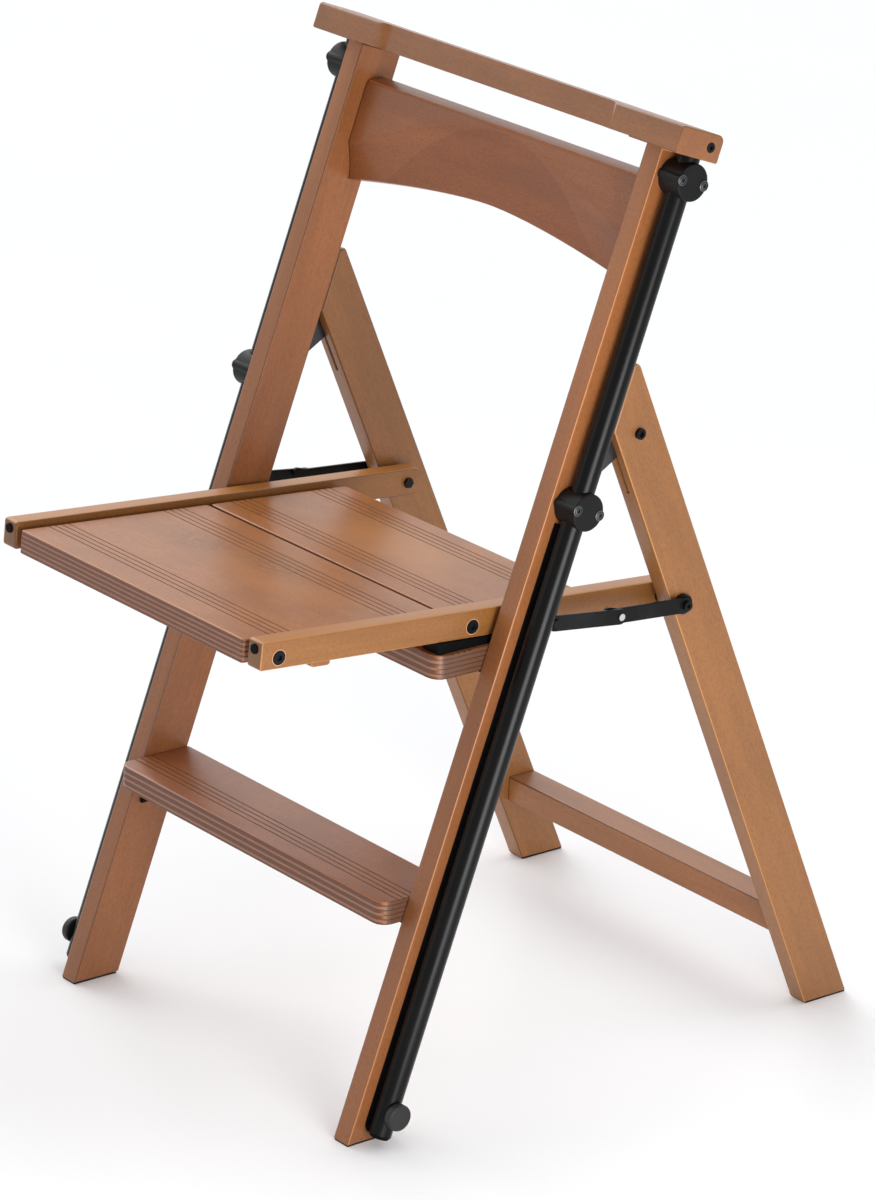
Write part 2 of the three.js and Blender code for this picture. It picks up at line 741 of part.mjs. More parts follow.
function rearStretcher() {
  const half = legInner - FIT;
  const low = STRETCHER_TOP - STRETCHER_HEIGHT;
  const drop = hinge[1] - (STRETCHER_TOP + low) / 2;
  const front = hinge[0] + drop * Math.tan(rearLean) - STRETCHER_AHEAD;
  const back = front + STRETCHER_DEPTH;
  const profile = outline([
    [front, low, STRETCHER_RADIUS],
    [back, low, STRETCHER_RADIUS],
    [back, STRETCHER_TOP, STRETCHER_RADIUS],
    [front, STRETCHER_TOP, STRETCHER_RADIUS],
  ]);
  return geometryOf(solidOf(upright(profile, -half, half, STRETCHER_EDGE)));
}

function buildRearFrame(chair) {
  const frame = groupAt("rear_frame", ...hinge, rearLean);
  chair.add(frame);
  const footFront = -REAR_DEPTH / 2;
  const rise = -hinge[1] - footFront * Math.sin(rearLean);
  const [footEdge] = placed(hinge, rearLean, [footFront, rise / Math.cos(rearLean)]);
  addPair(frame, "rear_leg", rearLeg(), wood);
  addPair(frame, "hinge_bolt", hingeBolt(), satinBlack);
  addPair(frame, "seat_pivot_bolt", seatPivotBolt(), satinBlack);
  add(chair, "rear_stretcher", rearStretcher(), wood);
  addPair(chair, "rear_foot_pad", footPad(footEdge, rearLean, REAR_DEPTH), blackRubber);
}

const frontBoltAt = [SEAT_BOLT_AHEAD - RAIL_FRONT, panelMiddle];
const rearPanelStart = FRONT_PANEL_LENGTH + PANEL_SPLIT - RAIL_FRONT;
const rearBoltAt = [rearPanelStart + SEAT_BOLT_BEHIND_SPLIT, panelMiddle];

function seatRail() {
  const half = RAIL_HEIGHT / 2;
  const profile = outline([
    [-RAIL_FRONT, -half, RAIL_FRONT_RADIUS],
    [RAIL_BEHIND, -half, RAIL_REAR_RADIUS],
    [RAIL_BEHIND, half, RAIL_REAR_RADIUS],
    [-RAIL_FRONT, half, RAIL_FRONT_RADIUS],
  ]);
  const bores = [frontBoltAt, rearBoltAt, [0, 0]].map((at) =>
    rodAcross(SEAT_SHANK_RADIUS + FIT, railInner - OVERCUT, railOuter + OVERCUT, at),
  );
  const sunk = railOuter + SEAT_HEAD_PROUD - SEAT_HEAD_HEIGHT - FIT;
  const sinks = [frontBoltAt, rearBoltAt].map((at) =>
    rodAcross(SEAT_HEAD_RADIUS + FIT, sunk, railOuter + OVERCUT, at),
  );
  const seatDepth = BUFFER_LENGTH - BUFFER_PROUD + FIT;
  const buffer = bufferRod(BUFFER_RADIUS + FIT, -RAIL_FRONT - OVERCUT, -RAIL_FRONT + seatDepth);
  return cut(upright(profile, railInner, railOuter, RAIL_EDGE), ...bores, ...sinks, buffer);
}

function bufferRod(radius, from, to) {
  const rod = new THREE.CylinderGeometry(radius, radius, to - from, SMALL_FACETS);
  return rod.translate((railInner + railOuter) / 2, (from + to) / 2, BUFFER_ABOVE);
}

function railBuffer() {
  const start = -RAIL_FRONT - BUFFER_PROUD;
  return geometryOf(solidOf(bufferRod(BUFFER_RADIUS, start, start + BUFFER_LENGTH)));
}

function seatBolt(at) {
  const end = railOuter + SEAT_HEAD_PROUD;
  const bolt = fuse(
    rodAcross(SEAT_SHANK_RADIUS, panelHalf - SEAT_BOLT_REACH, end, at),
    rodAcross(SEAT_SPACER_RADIUS, panelHalf + FIT, railInner - FIT, at),
    rodAcross(SEAT_HEAD_RADIUS, end - SEAT_HEAD_HEIGHT, end, at),
  );
  return cut(bolt, socket(end, at));
}

function panel(start, length, grooveInsets, boltAt) {
  const plan = outline([
    [-panelHalf, start, PANEL_CORNER],
    [panelHalf, start, PANEL_CORNER],
    [panelHalf, start + length, PANEL_CORNER],
    [-panelHalf, start + length, PANEL_CORNER],
  ]);
  const bore = (from, to) => rodAcross(SEAT_SHANK_RADIUS + FIT, from, to, boltAt);
  const deep = panelHalf - SEAT_BOLT_REACH - FIT;
  const starts = grooveInsets.map((inset) => start + inset);
  return cut(
    level(plan, panelTop - PANEL_THICKNESS, panelTop, PANEL_EDGE),
    bore(deep, panelHalf + OVERCUT),
    bore(-panelHalf - OVERCUT, -deep),
    ...grooves(starts, PANEL_GROOVES, PANEL_GROOVE_PITCH, panelTop, panelHalf),
  );
}

function batten(start, thickness) {
  const top = panelTop - PANEL_THICKNESS - FIT;
  const profile = outline([
    [start, top - thickness, BATTEN_RADIUS],
    [start + BATTEN_WIDTH, top - thickness, BATTEN_RADIUS],
    [start + BATTEN_WIDTH, top],
    [start, top],
  ]);
  return geometryOf(solidOf(upright(profile, -panelHalf, panelHalf, BATTEN_EDGE)));
}

function buildSeat(chair) {
  const seat = groupAt("seat", ...pivot, -seatTilt);
  chair.add(seat);
  const front = panel(-RAIL_FRONT, FRONT_PANEL_LENGTH, FRONT_GROOVE_INSETS, frontBoltAt);
  const rear = panel(rearPanelStart, REAR_PANEL_LENGTH, REAR_GROOVE_INSETS, rearBoltAt);
  addPair(seat, "seat_rail", seatRail(), seatWood);
  add(seat, "front_seat_panel", front, seatWood);
  add(seat, "rear_seat_panel", rear, seatWood);
  add(seat, "front_batten", batten(FRONT_BATTEN_START - RAIL_FRONT, FRONT_BATTEN_THICKNESS), wood);
  add(seat, "rear_batten", batten(rearPanelStart + REAR_BATTEN_START, REAR_BATTEN_THICKNESS), wood);
  addPair(seat, "front_seat_bolt", seatBolt(frontBoltAt), satinBlack);
  addPair(seat, "rear_seat_bolt", seatBolt(rearBoltAt), satinBlack);
  addPair(seat, "rail_buffer", railBuffer(), blackPlastic);
}

// The outline of a link with round ends, from the origin along Y.
function linkOutline(length) {
  const quarter = Math.PI / 2;
  const steps = 2 * CORNER_STEPS;
  return [
    ...arc(new THREE.Vector2(length, 0), STAY_RADIUS, -quarter, quarter, steps),
    ...arc(new THREE.Vector2(0, 0), STAY_RADIUS, quarter, 3 * quarter, steps),
  ];
}

function stayLength(from) {
  return Math.hypot(stayMiddle[0] - from[0], stayMiddle[1] - from[1]);
}

function stayAngle(from) {
  return Math.atan2(stayMiddle[1] - from[1], stayMiddle[0] - from[0]);
}

function stayFrontLink() {
  const length = stayLength(stayFront);
  return cut(
    upright(linkOutline(length), stayFrontX, stayOuterX, STAY_EDGE),
    rodAcross(STAY_BOLT_RADIUS + FIT, legOuter, stayOuterX + OVERCUT, [0, 0]),
    rodAcross(RIVET_RADIUS + FIT, legOuter, stayOuterX + OVERCUT, [length, 0]),
  );
}

function stayRivet() {
  const at = [stayLength(stayFront), 0];
  return fuse(
    rodAcross(RIVET_RADIUS, stayFrontX, stayOuterX + RIVET_HEAD_HEIGHT, at),
    rodAcross(RIVET_HEAD_RADIUS, stayOuterX + FIT, stayOuterX + RIVET_HEAD_HEIGHT, at),
  );
}

function stayRearLink() {
  const length = stayLength(pivot);
  const to = stayRearX + STAY_SHEET;
  const lug = outline([
    [length, STAY_RADIUS - STAY_EDGE],
    [length, -STAY_RADIUS + STAY_EDGE],
    [length + STAY_LUG_BEYOND, -STAY_LUG_UP - STAY_LUG_RADIUS, STAY_LUG_RADIUS],
    [length + STAY_LUG_BEYOND, -STAY_LUG_UP + STAY_LUG_RADIUS, STAY_LUG_RADIUS - STAY_EDGE],
  ]);
  const link = fuse(
    upright(linkOutline(length), stayRearX, to, STAY_EDGE),
    upright(lug, stayRearX, to),
  );
  return cut(link, rodAcross(PIVOT_SHANK_RADIUS + FIT, legOuter, to + OVERCUT, [0, 0]));
}

function buildStays(chair) {
  const front = groupAt("stay_front", ...stayFront, stayAngle(stayFront));
  const rear = groupAt("stay_rear", ...pivot, stayAngle(pivot));
  chair.add(front);
  chair.add(rear);
  addPair(front, "stay_front_link", stayFrontLink(), satinBlack);
  addPair(front, "stay_rivet", stayRivet(), brightSteel);
  addPair(rear, "stay_rear_link", stayRearLink(), satinBlack);
}

function handleTube() {
  const at = [tubeX, TUBE_BEHIND];
  const top = topRailLow + TUBE_LET_IN;
  return cut(
    rodUp(TUBE_RADIUS, TUBE_LOW, top, at),
    rodUp(TUBE_RADIUS - TUBE_WALL, TUBE_LOW - OVERCUT, top + OVERCUT, at),
    rodAcross(KNOB_SHANK_RADIUS + FIT, tubeX, tubeX + TUBE_RADIUS + OVERCUT, [TUBE_BEHIND, KNOB_HEIGHT]),
  );
}

function tubePlug() {
  const at = [tubeX, TUBE_BEHIND];
  const high = TUBE_LOW - FIT;
  const dome = new THREE.CylinderGeometry(
    TUBE_RADIUS,
    TUBE_RADIUS * PLUG_DOME_SHARE,
    PLUG_DOME,
    ROUND_FACETS,
  );
  dome.rotateX(Math.PI / 2).translate(...at, high - PLUG_DOME / 2);
  const stem = rodUp(TUBE_RADIUS - TUBE_WALL - FIT, high - PLUG_DOME / 2, high + PLUG_STEM, at);
  return fuse(dome, stem);
}

function lockKnob() {
  const start = tubeX + TUBE_RADIUS + FIT;
  const at = [TUBE_BEHIND, KNOB_HEIGHT];
  return fuse(
    upright(circle(...at, KNOB_RADIUS), start, start + KNOB_LENGTH, KNOB_EDGE),
    rodAcross(KNOB_SHANK_RADIUS, start + KNOB_EDGE - KNOB_SHANK_LENGTH, start + KNOB_EDGE, at),
  );
}

function handleScrew() {
  const at = [TUBE_BEHIND, screwHeight()];
  const end = topRailHalf + HANDLE_SCREW_PROUD;
  const screw = fuse(
    rodAcross(HANDLE_SCREW_RADIUS, end - HANDLE_SCREW_HEAD, end, at),
    rodAcross(HANDLE_SHANK_RADIUS, tubeX + TUBE_RADIUS + 2 * FIT, end - FIT, at),
  );
  return cut(screw, socket(end, at, SMALL_SOCKET_RADIUS));
}

function screwHeight() {
  return topRailLow + TOP_RAIL_HEIGHT / 2;
}

function railScoop() {
  const inner = TOP_RAIL_FRONT + SCOOP_DEPTH;
  const outer = TOP_RAIL_FRONT - OVERCUT;
  const plan = outline([
    [-scoopHalf - SCOOP_RADIUS, outer],
    [scoopHalf + SCOOP_RADIUS, outer],
    [scoopHalf - SCOOP_RADIUS, inner, SCOOP_RADIUS],
    [-scoopHalf + SCOOP_RADIUS, inner, SCOOP_RADIUS],
  ]);
  return level(plan, topRailLow - OVERCUT, topRailLow + TOP_RAIL_HEIGHT + OVERCUT);
}

function topRail() {
  const high = topRailLow + TOP_RAIL_HEIGHT;
  const profile = outline([
    [TOP_RAIL_FRONT, topRailLow, TOP_RAIL_LOW_RADIUS],
    [TOP_RAIL_BACK, topRailLow, TOP_RAIL_LOW_RADIUS],
    [TOP_RAIL_BACK, high, TOP_RAIL_BACK_RADIUS],
    [TOP_RAIL_FRONT, high, TOP_RAIL_RADIUS],
  ]);
  const relief = block(
    [-reliefHalf, reliefHalf],
    [TOP_RAIL_FRONT - OVERCUT, TOP_RAIL_BACK - RELIEF_INSET],
    [topRailLow - OVERCUT, topRailLow + RELIEF_DEPTH],
  );
  const socketTop = topRailLow + TUBE_LET_IN + FIT;
  const sides = [-1, 1].flatMap((side) => railSideCutters(side, socketTop));
  const bar = upright(profile, -topRailHalf, topRailHalf, TOP_RAIL_EDGE);
  return cut(bar, railScoop(), relief, ...sides);
}

function railSideCutters(side, socketTop) {
  const at = [TUBE_BEHIND, screwHeight()];
  const headDepth = topRailHalf - HANDLE_SCREW_HEAD + HANDLE_SCREW_PROUD - FIT;
  const spans = [
    [HANDLE_SCREW_RADIUS + FIT, headDepth, topRailHalf + OVERCUT],
    [HANDLE_SHANK_RADIUS + FIT, tubeX, topRailHalf],
  ];
  const bores = spans.map(([radius, from, to]) =>
    rodAcross(radius, Math.min(side * from, side * to), Math.max(side * from, side * to), at),
  );
  const socket = rodUp(TUBE_RADIUS + FIT, topRailLow - OVERCUT, socketTop, [side * tubeX, TUBE_BEHIND]);
  return [socket, ...bores];
}

function buildHandle(chair) {
  const handle = groupAt("handle", 0, 0, -frontLean);
  chair.add(handle);
  add(handle, "top_rail", topRail(), wood);
  addPair(handle, "handle_tube", handleTube(), satinBlack);
  addPair(handle, "tube_plug", tubePlug(), blackPlastic);
  addPair(handle, "handle_screw", handleScrew(), satinBlack);
  addPair(handle, "lock_knob", lockKnob(), greyPlastic);
}

const chair = new THREE.Group();
chair.name = "folding_step_stool_chair";
buildFrontFrame(chair);
buildRearFrame(chair);
buildSeat(chair);
buildStays(chair);
buildHandle(chair);

// The origin lies on the floor under the middle of the whole chair.
chair.updateMatrixWorld(true);
const reach = new THREE.Box3().setFromObject(chair, true);
chair.position.set(0, -(reach.min.y + reach.max.y) / 2, -reach.min.z);

export default chair;
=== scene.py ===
import json
import math

import bmesh
import bpy
from mathutils import Matrix, Vector


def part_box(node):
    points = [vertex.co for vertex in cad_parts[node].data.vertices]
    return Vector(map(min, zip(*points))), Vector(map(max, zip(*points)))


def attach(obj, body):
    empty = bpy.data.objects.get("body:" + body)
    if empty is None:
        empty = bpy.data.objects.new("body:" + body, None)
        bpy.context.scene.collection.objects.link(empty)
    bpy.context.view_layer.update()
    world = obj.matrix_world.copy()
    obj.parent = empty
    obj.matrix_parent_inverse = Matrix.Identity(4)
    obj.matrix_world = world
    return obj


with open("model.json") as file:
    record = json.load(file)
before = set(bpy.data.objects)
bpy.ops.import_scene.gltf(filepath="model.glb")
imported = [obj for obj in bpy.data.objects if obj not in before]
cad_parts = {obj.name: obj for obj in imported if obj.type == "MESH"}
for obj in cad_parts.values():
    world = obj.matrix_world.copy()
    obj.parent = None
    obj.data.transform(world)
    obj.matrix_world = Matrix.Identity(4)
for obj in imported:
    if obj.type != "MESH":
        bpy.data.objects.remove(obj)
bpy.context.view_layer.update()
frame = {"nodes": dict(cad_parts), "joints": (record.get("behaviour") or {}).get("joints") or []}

MM = 0.001

# The angle of each leaning piece about the X axis, in degrees.
FRONT_LEAN = -19.4
REAR_LEAN = 24.4
SEAT_TILT = -3.97

# Places on the leaning front frame, measured from the front edge of its feet.
TUBE_BEHIND = 20.8 * MM
CLAMP_END = 239.5 * MM
CLAMP_HEIGHTS = {"top": 874.4 * MM, "middle": 583.8 * MM}
LUG_OFFSET = 13 * MM
ARCH_TOP = 861 * MM
ARCH_FALL = 3.8
# Between these heights on the front legs, painted shade at the foot gives way to painted light at
# the top.
PALER_FROM = 150 * MM
PALER_TO = 800 * MM

# Half a board's length between the legs, and the treads' tops above the floor.
BOARD_END = 192.3 * MM
LOWER_TREAD_TOP = 208.8 * MM
UPPER_TREAD_TOP = 422.8 * MM

# Places on the tilted seat, measured from its pivot. Each orange patch has its place along the
# seat, its reach and how strongly its colour shows.
PANEL_TOP = 7.85 * MM
PANEL_MIDDLE = -2.65 * MM
BOLTS_ALONG = (-419.5 * MM, -212.5 * MM)
ORANGE_PATCHES = ((-300 * MM, 60 * MM, 0.15), (-150 * MM, 80 * MM, 0.45))
ORANGE_PATCH_HALF_WIDTH = 120 * MM
SMUDGES = ((-75 * MM, -310 * MM), (10 * MM, -290 * MM))
SMUDGE_HALF_WIDTH = 60 * MM
SMUDGE_REACH = 38 * MM

# Plies: for the seat its top, then the depth of the first pale one and the step to the next.
SEAT_PLIES = (PANEL_TOP, 4.6 * MM, 4.2 * MM)
TREAD_PLIES = (5.7 * MM, 6.1 * MM)
PLY_WAVINESS = 0.6 * MM

# The step between the glue lines on the end of any board.
END_PLY = 4.3 * MM

# A clamp screw: its profile and driver socket as reach and height in mm, and the bands that take a
# lighter steel as a painted highlight.
SCREW_PROFILE = (
    (4.7, 0.0),
    (4.7, 0.45),
    (4.3, 0.75),
    (3.8, 0.75),
    (3.6, 0.2),
    (3.1, 0.2),
    (3.0, 0.65),
    (2.3, 0.95),
)
SCREW_SOCKET = ((1.7, 1.0), (1.6, 0.9), (1.5, 0.1))
SCREW_STEPS = 48
LOBES = 6
LOBE_DEPTH = 0.16
HIGHLIGHT_BANDS = (1, 2, 6)
SCREW_CLEARANCE = 0.05 * MM

# The features of beech by their width and length, and how far the grain bends.
GRAIN_DRIFT = (50 * MM, 350 * MM)
GRAIN_CLOUDS = (30 * MM, 160 * MM)
GROWTH_RINGS = (3.5 * MM, 400 * MM)
GRAIN_FIBRES = (0.6 * MM, 30 * MM)
GRAIN_FLECKS = (0.7 * MM, 4 * MM)
GRAIN_RAYS = (1.2 * MM, 3.5 * MM)
GRAIN_BEND = 12 * MM

# The features of plywood, and of painted or moulded pieces: their sizes along X, Y and Z.
FACE_CLOUDS = (70 * MM, 50 * MM, 70 * MM)
FACE_SPOTS = (9 * MM, 5 * MM, 9 * MM)
FACE_FIBRES = (50 * MM, 0.7 * MM, 0.7 * MM)
FACE_FLECKS = (3.5 * MM, 0.6 * MM, 0.6 * MM)
FACE_RAYS = (3.5 * MM, 1.2 * MM, 1.2 * MM)
PLY_WOBBLE = (30 * MM, 30 * MM, 20 * MM)
PLY_STREAKS = (20 * MM, 20 * MM, 0.5 * MM)
PLY_PORES = (1.1 * MM, 1.1 * MM, 1.1 * MM)
PAINT_SKIN = (0.6 * MM, 0.6 * MM, 0.6 * MM)
PAINT_HAZE = (30 * MM, 30 * MM, 50 * MM)
PAINT_SCUFFS = (4 * MM, 1.5 * MM, 1.5 * MM)

# How far a stain's middle and dark colours fall below its light one.
STAIN_MIDDLE = 0.84
STAIN_DARK = 0.45

# Tints that multiply a stain: painted shade at the front legs' feet and painted light at their
# tops, painted shade in the slat's hollow and on the rails' front faces; then the gains of painted
# highlights on edges over it.
FOOT_SHADE_TINT = (0.88, 0.88, 0.9, 1)
TOP_LIGHT_TINT = (1.16, 1.15, 1.12, 1)
HOLLOW_SHADE_TINT = (0.88, 0.82, 0.75, 1)
FRONT_SHADE_TINT = (0.72, 0.76, 0.95, 1)
EDGE_HIGHLIGHT_GAIN = (1.9, 2.2, 2.4, 1.0)
ARRIS_HIGHLIGHT_GAIN = 1.9

# The painted shade in the joints where boards meet the legs and along inner edges, and the lacquer
# over every board.
JOINT_AND_EDGE_SHADE = (0.05, 0.02, 0.01, 1.0)
LACQUER = {
    "Specular IOR Level": 0.2,
    "Coat Weight": 0.5,
    "Coat Roughness": 0.27,
    "Coat IOR": 1.5,
}

# The shading of the solids: faces this close are welded, and sharper edges than this stay sharp.
WELD_GAP = 0.01 * MM
SHARP_DEGREES = 50

# The room's soft light: wide lamps by direction, spread in degrees and strength, and one softbox.
WIDE_LAMPS = (
    ("back_wall", (0.1, 0.8, 1.0), 50, 0.59),
    ("back_left_wall", (-0.65, 0.55, 0.4), 60, 0.385),
    ("left_front_wall", (-0.75, -0.65, 0.5), 50, 0.39),
    ("left_wall", (-1.0, 0.1, 0.5), 50, 1.7),
)
SOFTBOX_PLACE = (1.6, -0.5, 0.4)
SOFTBOX_AIM = (0, 0, 0.4)
SOFTBOX_SIZE = 0.8
SOFTBOX_WATTS = 19.5
ROOM_STRENGTH = 0.584
FLOOR_REACH = 15
FLOOR_PATCHES = (0.8, 0.8, 0.8)

# The camera, fitted to the chair's edges: its place in metres and its angles in radians.
CAMERA_PLACE = (3.38503704, -2.80664098, 1.98871384)
CAMERA_AZIMUTH = 0.877731793
CAMERA_ELEVATION = 0.349609255
CAMERA_ROLL = 0.0429764655
LENS_MM = 157.97
SENSOR_MM = 36
CAMERA_REACH = 50


def srgb(red, green, blue):
    """A picture colour, 0 to 255, as the linear colour that a shader takes."""
    linear = []
    for level in (red, green, blue):
        share = level / 255
        linear.append(share / 12.92 if share <= 0.04045 else ((share + 0.055) / 1.055) ** 2.4)
    return (*linear, 1.0)


def stain(red, green, blue):
    """A wood stain as three colours: its light, its middle, and the dark of its pores."""
    light = srgb(red, green, blue)[:3]
    shares = (1.0, STAIN_MIDDLE, STAIN_DARK)
    return tuple((*(share * level for level in light), 1.0) for share in shares)


class Tone:
    """A number, colour or vector that changes over a surface. Arithmetic on it adds Math nodes."""

    def __init__(self, finish, socket):
        self.finish = finish
        self.socket = socket

    def math(self, operation, *others):
        """One step of arithmetic on this number."""
        values = dict(enumerate((self, *others)))
        return self.finish.node("ShaderNodeMath", {"operation": operation}, values)

    def __add__(self, other):
        return self.math("ADD", other)

    def __mul__(self, other):
        return self.math("MULTIPLY", other)

    def __sub__(self, other):
        return self.math("SUBTRACT", other)

    def __rsub__(self, other):
        return self.finish.node("ShaderNodeMath", {"operation": "SUBTRACT"}, {0: other, 1: self})

    __radd__ = __add__
    __rmul__ = __mul__

    def size(self):
        """This number without its sign."""
        return self.math("ABSOLUTE")

    def rise(self, low, high, bottom=0.0, top=1.0):
        """A smooth rise from bottom to top while this number goes from low to high."""
        values = {"Value": self, "From Min": low, "From Max": high, "To Min": bottom, "To Max": top}
        return self.finish.node("ShaderNodeMapRange", {"interpolation_type": "SMOOTHSTEP"}, values)

    def fall(self, low, high):
        """A smooth fall from 1 to 0 while this number goes from low to high."""
        return self.rise(low, high, 1.0, 0.0)


class Finish:
    """One material: its shader's constants, and the nodes that vary them over the surface."""

    SOCKETS = {
        "base": "Base Color",
        "rough": "Roughness",
        "coat": "Coat Weight",
        "normal": "Normal",
    }

    def __init__(self, name, constants):
        self.material = bpy.data.materials.new(name)
        self.material.use_nodes = True
        self.tree = self.material.node_tree
        self.shader = self.tree.nodes["Principled BSDF"]
        for socket, value in constants.items():
            self.shader.inputs[socket].default_value = value

    def node(self, kind, settings=None, values=None, output=0):
        """Adds a node. Its settings are set first, then the values or links of its sockets."""
        node = self.tree.nodes.new(kind)
        for name, setting in (settings or {}).items():
            setattr(node, name, setting)
        for socket, value in (values or {}).items():
            if isinstance(value, Tone):
                self.tree.links.new(value.socket, node.inputs[socket])
            else:
                node.inputs[socket].default_value = value
        return Tone(self, node.outputs[output])

    def feed(self, **tones):
        """Links tones to the shader's base colour, roughness, coat weight or normal."""
        for name, tone in tones.items():
            self.tree.links.new(tone.socket, self.shader.inputs[self.SOCKETS[name]])
        return self.material

    def place(self, origin=(0, 0, 0), degrees=0.0):
        """Coordinates in metres in the frame of a leaning piece."""
        where = self.node("ShaderNodeTexCoord", output="Object")
        settings = {"vector_type": "TEXTURE"}
        values = {"Vector": where, "Location": origin, "Rotation": (math.radians(degrees), 0, 0)}
        return self.node("ShaderNodeMapping", settings, values)

    def facing(self, degrees):
        """The surface's own normal in the frame of a leaning piece."""
        normal = self.node("ShaderNodeTexCoord", output="Normal")
        values = {"Vector": normal, "Rotation": (math.radians(degrees), 0, 0)}
        return self.node("ShaderNodeMapping", {"vector_type": "TEXTURE"}, values)

    def split(self, vector):
        """A vector's parts along X, Y and Z."""
        parts = self.node("ShaderNodeSeparateXYZ", {}, {0: vector}).socket.node
        return [Tone(self, part) for part in parts.outputs]

    def vector(self, operation, first, second):
        """One step of arithmetic on two vectors."""
        return self.node("ShaderNodeVectorMath", {"operation": operation}, {0: first, 1: second})

    def noise(self, place, sizes, detail, rough=0.5, colour=False):
        """Soft random variation with features of the given sizes along X, Y and Z."""
        scaled = self.vector("DIVIDE", place, sizes)
        values = {"Vector": scaled, "Scale": 1.0, "Detail": detail, "Roughness": rough}
        return self.node("ShaderNodeTexNoise", {}, values, output=1 if colour else 0)

    def mix(self, under, over, share, mode="MIX"):
        """Lays one colour over another, by a share that may change over the surface."""
        settings = {"data_type": "RGBA", "blend_type": mode}
        return self.node("ShaderNodeMix", settings, {0: share, 6: under, 7: over}, output=2)

    def bump(self, height, depth, strength):
        """The normal of a surface with fine relief of the given depth."""
        values = {"Height": height, "Distance": depth, "Strength": strength}
        return self.node("ShaderNodeBump", {}, values)


def along(axis, across, length):
    """The sizes of a grain feature that is long in one direction and narrow in the others."""
    sizes = [across, across, across]
    sizes["XYZ".index(axis)] = length
    return tuple(sizes)


def stained_beech(name, origin, degrees, grain, tones, marks=None, edge_highlight=0.8):
    """Lacquered, walnut-stained beech: fibres, short ray flecks, growth rings and soft clouds."""
    finish = Finish(name, LACQUER)
    place = finish.place(origin, degrees)
    drift = finish.noise(place, along(grain, *GRAIN_DRIFT), detail=1.0, colour=True)
    shift = finish.vector("MULTIPLY", drift, (GRAIN_BEND, GRAIN_BEND, GRAIN_BEND))
    bent = finish.vector("ADD", place, shift)
    cloud = finish.noise(bent, along(grain, *GRAIN_CLOUDS), detail=2.0)
    rings = finish.noise(bent, along(grain, *GROWTH_RINGS), detail=3.0, rough=0.6)
    fibres = finish.noise(bent, along(grain, *GRAIN_FIBRES), detail=3.0, rough=0.7)
    flecks = finish.noise(bent, along(grain, *GRAIN_FLECKS), detail=1.0).rise(0.6, 0.74)
    rays = finish.noise(place, along(grain, *GRAIN_RAYS), detail=2.0, rough=0.6)
    light, middle, dark = tones
    base = finish.mix(light, middle, cloud.rise(0.36, 0.64))
    base = finish.mix(base, dark, rings.rise(0.4, 0.75) * 0.14)
    base = finish.mix(base, dark, fibres.rise(0.4, 0.75) * 0.2)
    base = finish.mix(base, dark, flecks * 0.3)
    base = finish.mix(base, dark, rays.rise(0.42, 0.66) * 0.32)
    # Painted highlights on the edges that face out or up, and painted shade on the others.
    base = edge_highlights_and_shade(finish, place, degrees, base, light, edge_highlight)
    if marks:
        base = marks(finish, place, degrees, base)
    rough = 0.42 + 0.12 * fibres
    normal = finish.bump(fibres + flecks * -0.5, 0.12 * MM, 0.4)
    return finish.feed(base=base, rough=rough, normal=normal)


def edge_highlights_and_shade(finish, place, degrees, base, light, edge_highlight):
    """A piece's rounded edges: a painted highlight on those that face out or up, by the given
    share, and painted shade on the rest, or on every edge when there is no highlight.
    """
    right = finish.split(place)[0]
    across, behind, up = finish.split(finish.facing(degrees))
    outward = across * right.math("SIGN") + up.math("MAXIMUM", 0)
    flat = across.size().math("MAXIMUM", behind.size())
    edge = flat.math("MAXIMUM", up.size()).fall(0.76, 0.95)
    outer = outward.rise(-0.2, 0.4)
    # The painted highlight's colour: the stain's light colour, brightened.
    pale = tuple(min(1.0, level * gain) for level, gain in zip(light, EDGE_HIGHLIGHT_GAIN))
    base = finish.mix(base, pale, edge * outer * edge_highlight)
    kept = 1 - outer if edge_highlight else 1.0
    return finish.mix(base, JOINT_AND_EDGE_SHADE, edge * kept * 0.85)


def shaded_low_lit_high(finish, place, degrees, base):
    """A long post's stain with painted shade low down and painted light higher up: a little darker
    at its foot and paler at its top.
    """
    up = finish.split(place)[2]
    tone = finish.mix(FOOT_SHADE_TINT, TOP_LIGHT_TINT, up.rise(PALER_FROM, PALER_TO))
    return finish.mix(base, tone, 1.0, "MULTIPLY")


def joint_shade(finish, place, degrees, base):
    """Painted shade in thin dark lines at a board's two ends, where it meets the legs."""
    end = finish.split(place)[0].size().rise(BOARD_END - 2 * MM, BOARD_END - 0.5 * MM)
    return finish.mix(base, JOINT_AND_EDGE_SHADE, end * 0.7)


def arched_hollow_shade(finish, place, degrees, base):
    """The slat's hollowed front below an arched line, darker and browner as painted shade of the
    hollow.
    """
    # Painted shade at the slat's ends, where it meets the legs.
    base = joint_shade(finish, place, degrees, base)
    across, _, up = finish.split(place)
    line = ARCH_TOP - ARCH_FALL * across * across
    return finish.mix(base, HOLLOW_SHADE_TINT, (line - up).rise(-MM, MM), "MULTIPLY")


def dull_ramps(finish, place, degrees, base):
    """The short slopes beside the top rail's grip, which keep hardly any gloss."""
    across = finish.split(finish.facing(degrees))[0].size()
    slope = across.rise(0.1, 0.3) * across.fall(0.85, 0.97)
    finish.feed(coat=LACQUER["Coat Weight"] * (1 - slope))
    return base


